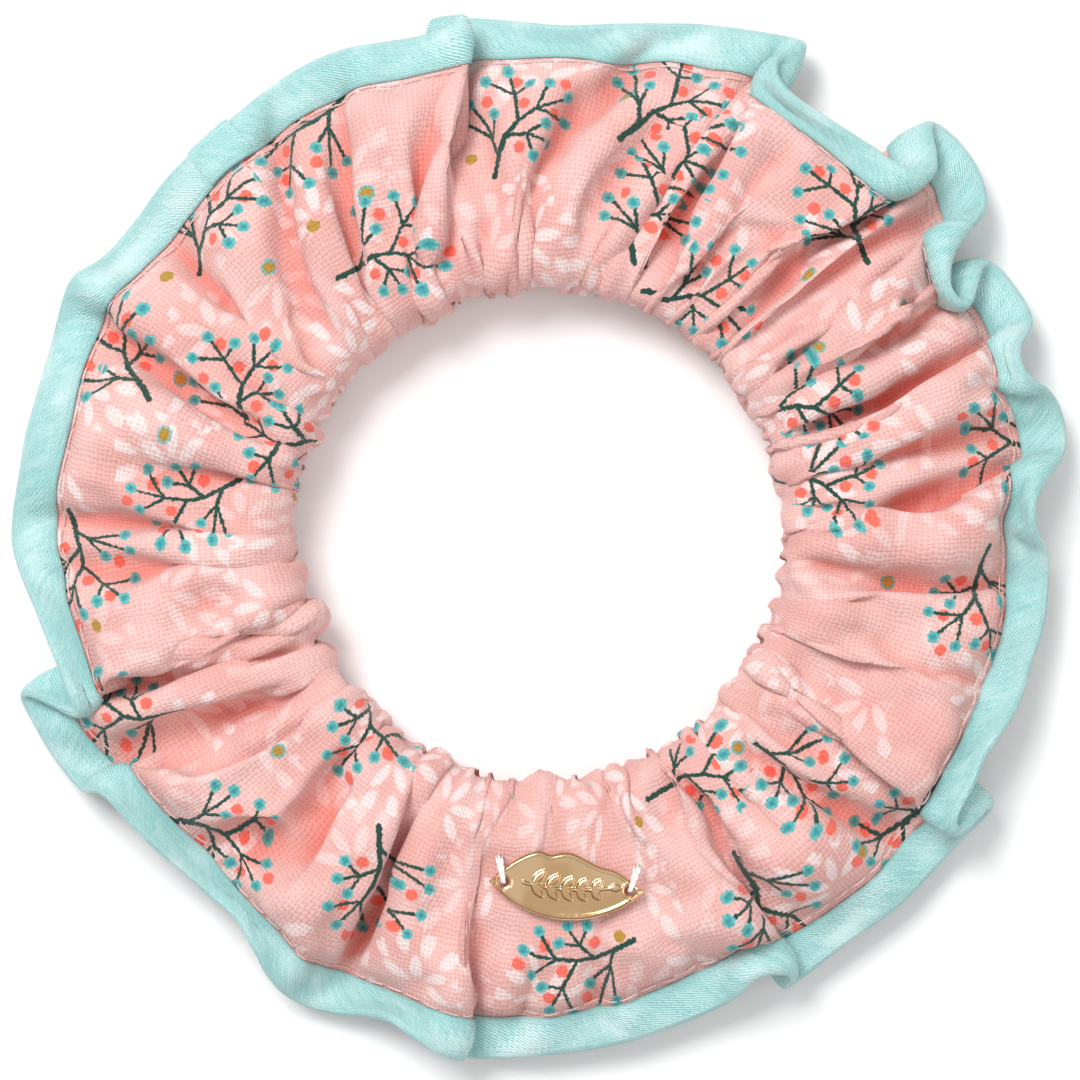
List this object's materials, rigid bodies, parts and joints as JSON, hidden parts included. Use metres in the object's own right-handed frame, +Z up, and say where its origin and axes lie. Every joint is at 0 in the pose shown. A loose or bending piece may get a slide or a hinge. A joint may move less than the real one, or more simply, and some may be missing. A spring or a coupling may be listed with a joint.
{
  "type": "scrunchie",
  "caption": "Ruffled cotton gauze scrunchie with a satin-bound edge and a small sewn-on metal charm, stretching round a ponytail.",
  "frame": {"origin": "middle of the ring on the table it lies on, at the bottom centre of the bounding box", "axes": "+Z up along the ring's axis, -Y towards the side with the metal charm, +X to the right of the charm as it is read from above"},
  "size_m": [0.12, 0.12, 0.0138],
  "materials": {
    "printed_gauze": "open plain weave, printed",
    "plain_gauze": "open plain weave",
    "satin_tape": "ribbed satin sheen",
    "elastic": "braided, matte",
    "pink_thread": "spun thread",
    "white_thread": "spun thread",
    "charm_metal": "polished light gold plating"
  },
  "bodies": {
    "near_half": {"casing_face_near": "printed_gauze", "casing_backing_near": "plain_gauze", "elastic_band_near": "elastic", "satin_binding_near": "satin_tape", "needle_thread_near": "pink_thread", "bobbin_thread_near": "pink_thread", "charm_thread_left": "white_thread", "charm_thread_right": "white_thread", "charm_thread_knots": "white_thread"},
    "far_half": {"casing_face_far": "printed_gauze", "casing_backing_far": "plain_gauze", "elastic_band_far": "elastic", "satin_binding_far": "satin_tape", "needle_thread_far": "pink_thread", "bobbin_thread_far": "pink_thread", "binding_lap": "satin_tape", "elastic_end_tab": "elastic", "elastic_join_stitches": "pink_thread", "casing_seam_thread": "pink_thread"},
    "charm": {"charm_plate": "charm_metal"}
  },
  "joints": [
    {"name": "stretch", "type": "slide", "parent": "near_half", "child": "far_half", "axis": [0, 1, 0], "range_m": [0, 0.05], "stiffness_N_per_m": 70},
    {"name": "charm_rock", "type": "hinge", "parent": "near_half", "child": "charm", "pos_m": [0.003, -0.0394, 0.0125], "axis": [0.9976, -0.0698, 0], "range_deg": [-5, 5], "stiffness_Nm_per_rad": 0.0002}
  ]
}
